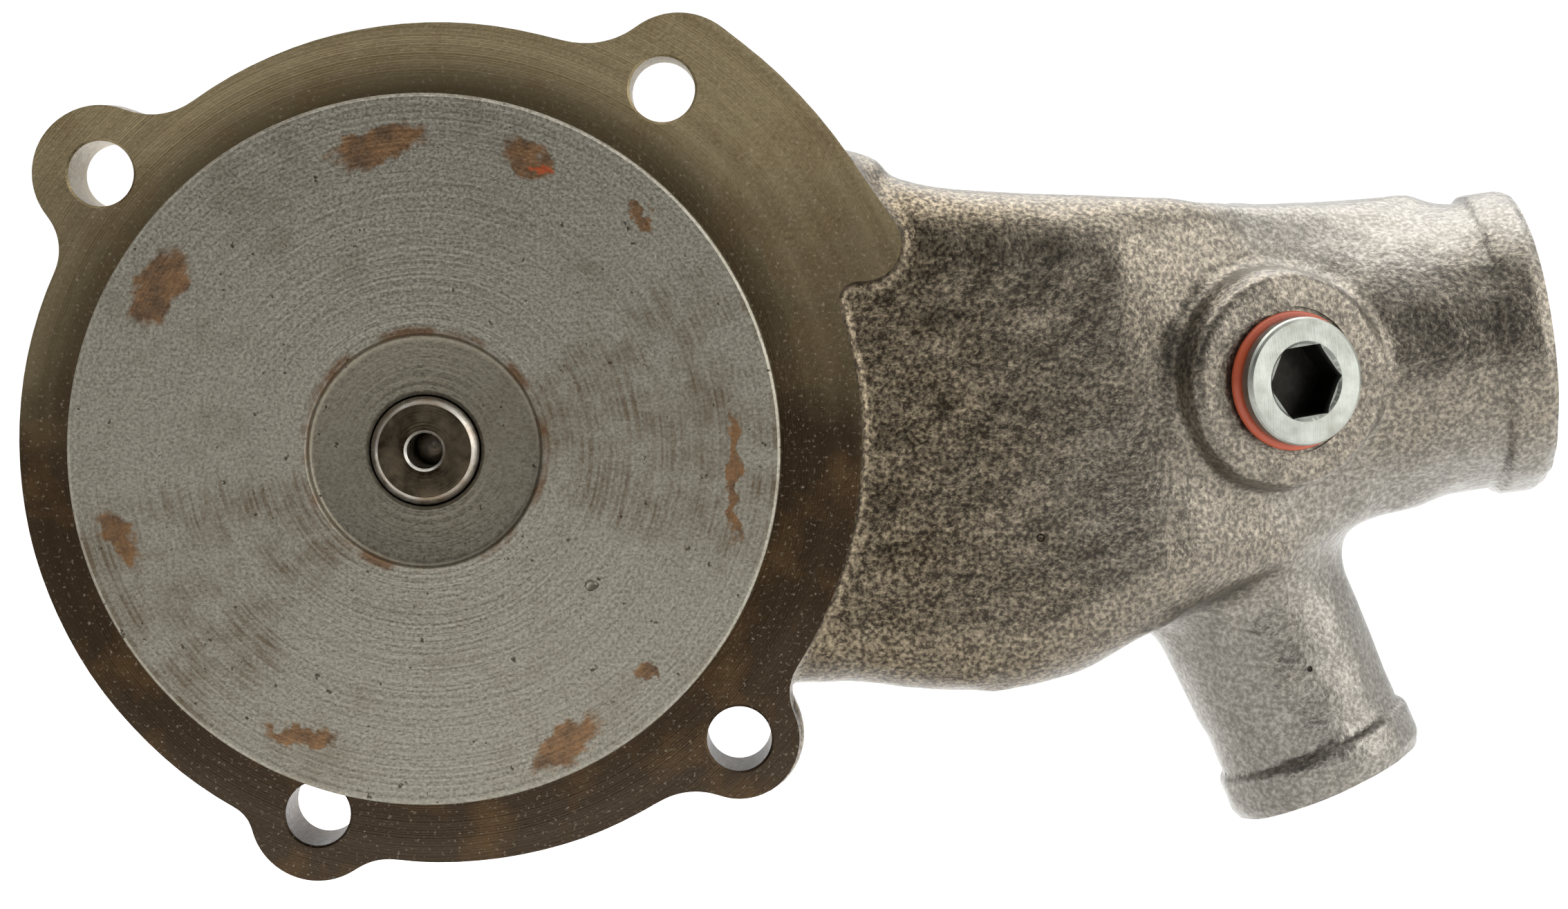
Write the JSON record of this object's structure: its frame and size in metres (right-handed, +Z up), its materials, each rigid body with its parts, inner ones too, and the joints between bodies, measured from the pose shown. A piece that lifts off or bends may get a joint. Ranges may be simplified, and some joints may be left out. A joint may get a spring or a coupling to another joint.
{
  "type": "engine coolant pump",
  "caption": "Cast-iron engine coolant pump with a round bolting flange, a vaned impeller on a sealed bearing shaft, and a suction arm with two hose pipes and a socket-head plug.",
  "frame": {"origin": "where the shaft's axis crosses the machined face that bolts to the engine", "axes": "+X along the suction arm towards the radiator hose pipe, -Y along the shaft into the engine, +Z up"},
  "size_m": [0.2661, 0.1325, 0.1467],
  "materials": {
    "cast_iron": "sand-cast, with machined faces and light rust",
    "turned_iron": "turned, with rust stains",
    "steel": "ground",
    "zinc": "zinc plated",
    "sealing_red": "painted sealing washer",
    "rubber": "moulded",
    "brass": "pressed",
    "ceramic": "lapped",
    "carbon": "lapped",
    "cage_plastic": "moulded"
  },
  "bodies": {
    "housing": {"pump_housing": "cast_iron", "bearing_outer_ring": "steel", "bearing_seal_rear": "rubber", "bearing_seal_front": "rubber", "retaining_ring": "steel", "seal_carbon_ring": "carbon", "seal_bellows": "rubber", "seal_spring": "steel", "seal_cup": "brass", "hex_plug": "zinc", "plug_washer": "sealing_red"},
    "rotor": {"pump_shaft": "steel", "impeller": "turned_iron", "pulley_hub": "turned_iron", "slinger_ring": "brass", "seal_seat_ring": "ceramic", "seal_seat_cup": "rubber"},
    "ball_set": {"ball_cage": "cage_plastic", "bearing_ball_1": "steel", "bearing_ball_2": "steel", "bearing_ball_3": "steel", "bearing_ball_4": "steel", "bearing_ball_5": "steel", "bearing_ball_6": "steel", "bearing_ball_7": "steel", "bearing_ball_8": "steel"},
    "roller_set": {"roller_cage": "cage_plastic", "bearing_roller_1": "steel", "bearing_roller_2": "steel", "bearing_roller_3": "steel", "bearing_roller_4": "steel", "bearing_roller_5": "steel", "bearing_roller_6": "steel", "bearing_roller_7": "steel", "bearing_roller_8": "steel"}
  },
  "joints": [
    {"name": "shaft_spin", "type": "hinge", "parent": "housing", "child": "rotor", "pos_m": [0, 0, 0], "axis": [0, 1, 0], "continuous": true},
    {"name": "ball_cage_orbit", "type": "hinge", "parent": "housing", "child": "ball_set", "pos_m": [0, 0.066, 0], "axis": [0, 1, 0], "continuous": true},
    {"name": "roller_cage_orbit", "type": "hinge", "parent": "housing", "child": "roller_set", "pos_m": [0, 0.083, 0], "axis": [0, 1, 0], "continuous": true}
  ],
  "couplings": [
    {"joint": "ball_cage_orbit", "follows": "shaft_spin", "ratio": 0.3666},
    {"joint": "roller_cage_orbit", "follows": "shaft_spin", "ratio": 0.4057}
  ]
}
